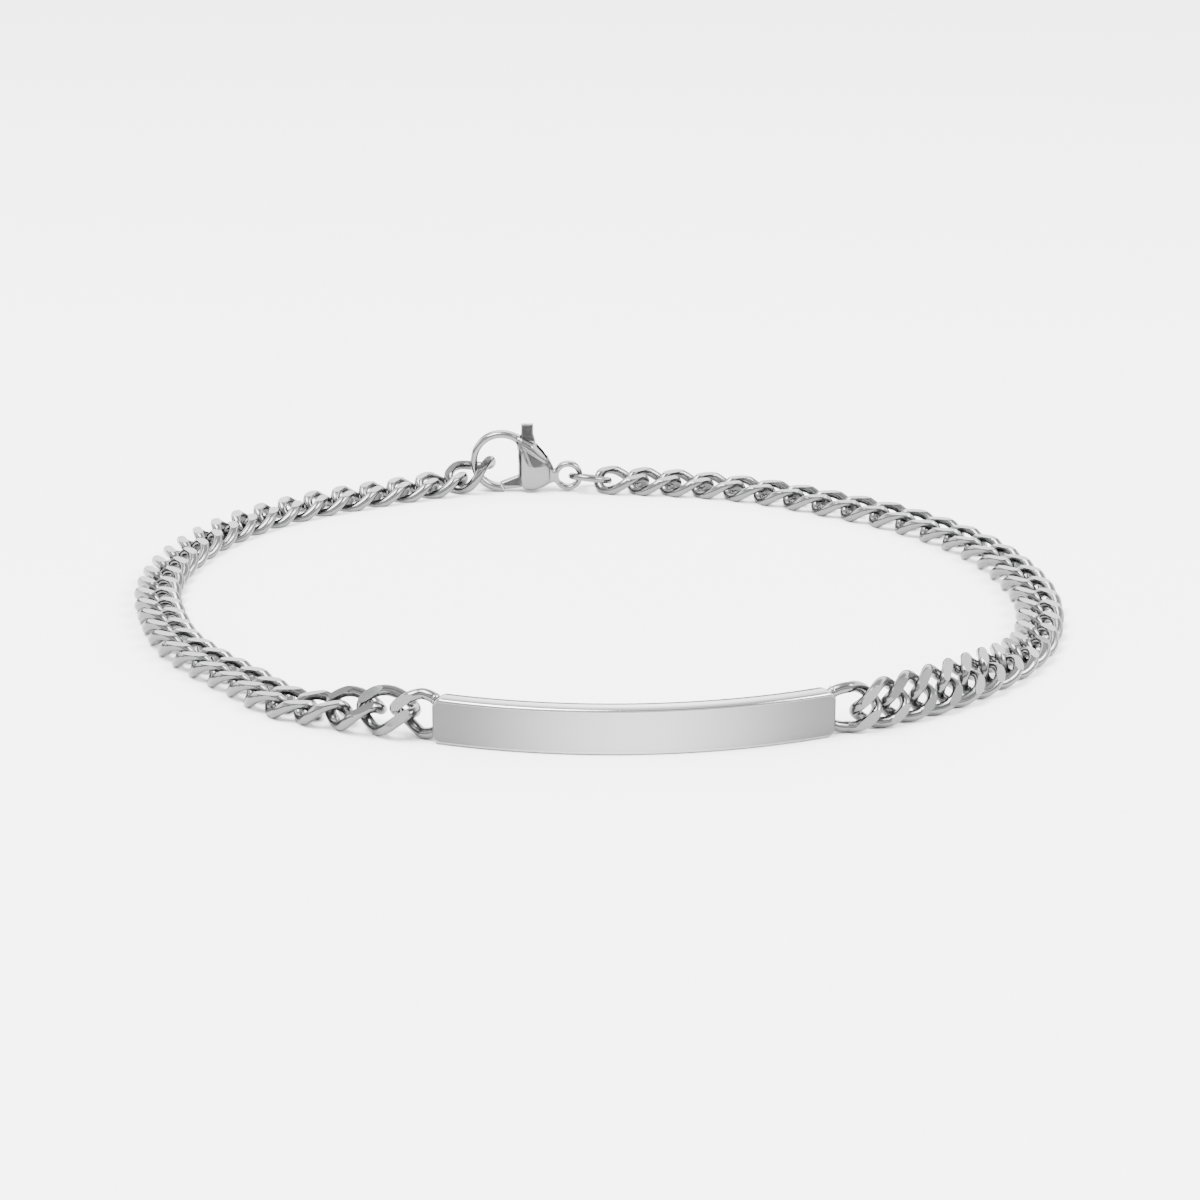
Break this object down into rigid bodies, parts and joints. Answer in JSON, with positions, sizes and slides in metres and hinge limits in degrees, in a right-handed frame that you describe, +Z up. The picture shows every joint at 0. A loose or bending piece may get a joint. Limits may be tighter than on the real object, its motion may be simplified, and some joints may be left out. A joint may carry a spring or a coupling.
{
  "type": "id bracelet",
  "caption": "Steel id bracelet with a curved blank plate, a flat curb chain from each of its ends and a lobster clasp.",
  "frame": {"origin": "middle of the bracelet's footprint, on the surface it lies on", "axes": "+Z up, the plate towards -Y and facing -Y, the clasp towards +Y, +X to the right of somebody who faces the plate"},
  "size_m": [0.0647, 0.0605, 0.0054],
  "materials": {
    "plate": "polished stainless steel",
    "chain": "polished stainless steel with diamond cut faces",
    "ring": "polished stainless steel",
    "clasp": "polished cast stainless steel",
    "lever": "polished stainless steel"
  },
  "bodies": {
    "bracelet": {"id_plate": "plate", "chain_left": "chain", "chain_right": "chain", "connector_ring": "ring", "clasp_body": "clasp", "clasp_pin": "clasp"},
    "lever": {"clasp_lever": "lever"}
  },
  "joints": [
    {"name": "lever_hinge", "type": "hinge", "parent": "bracelet", "child": "lever", "pos_m": [-0.005, 0.0285, 0.00174], "axis": [0, 1, 0], "range_deg": [0, 20], "stiffness_Nm_per_rad": 0.002, "springref_deg": -11.46}
  ]
}
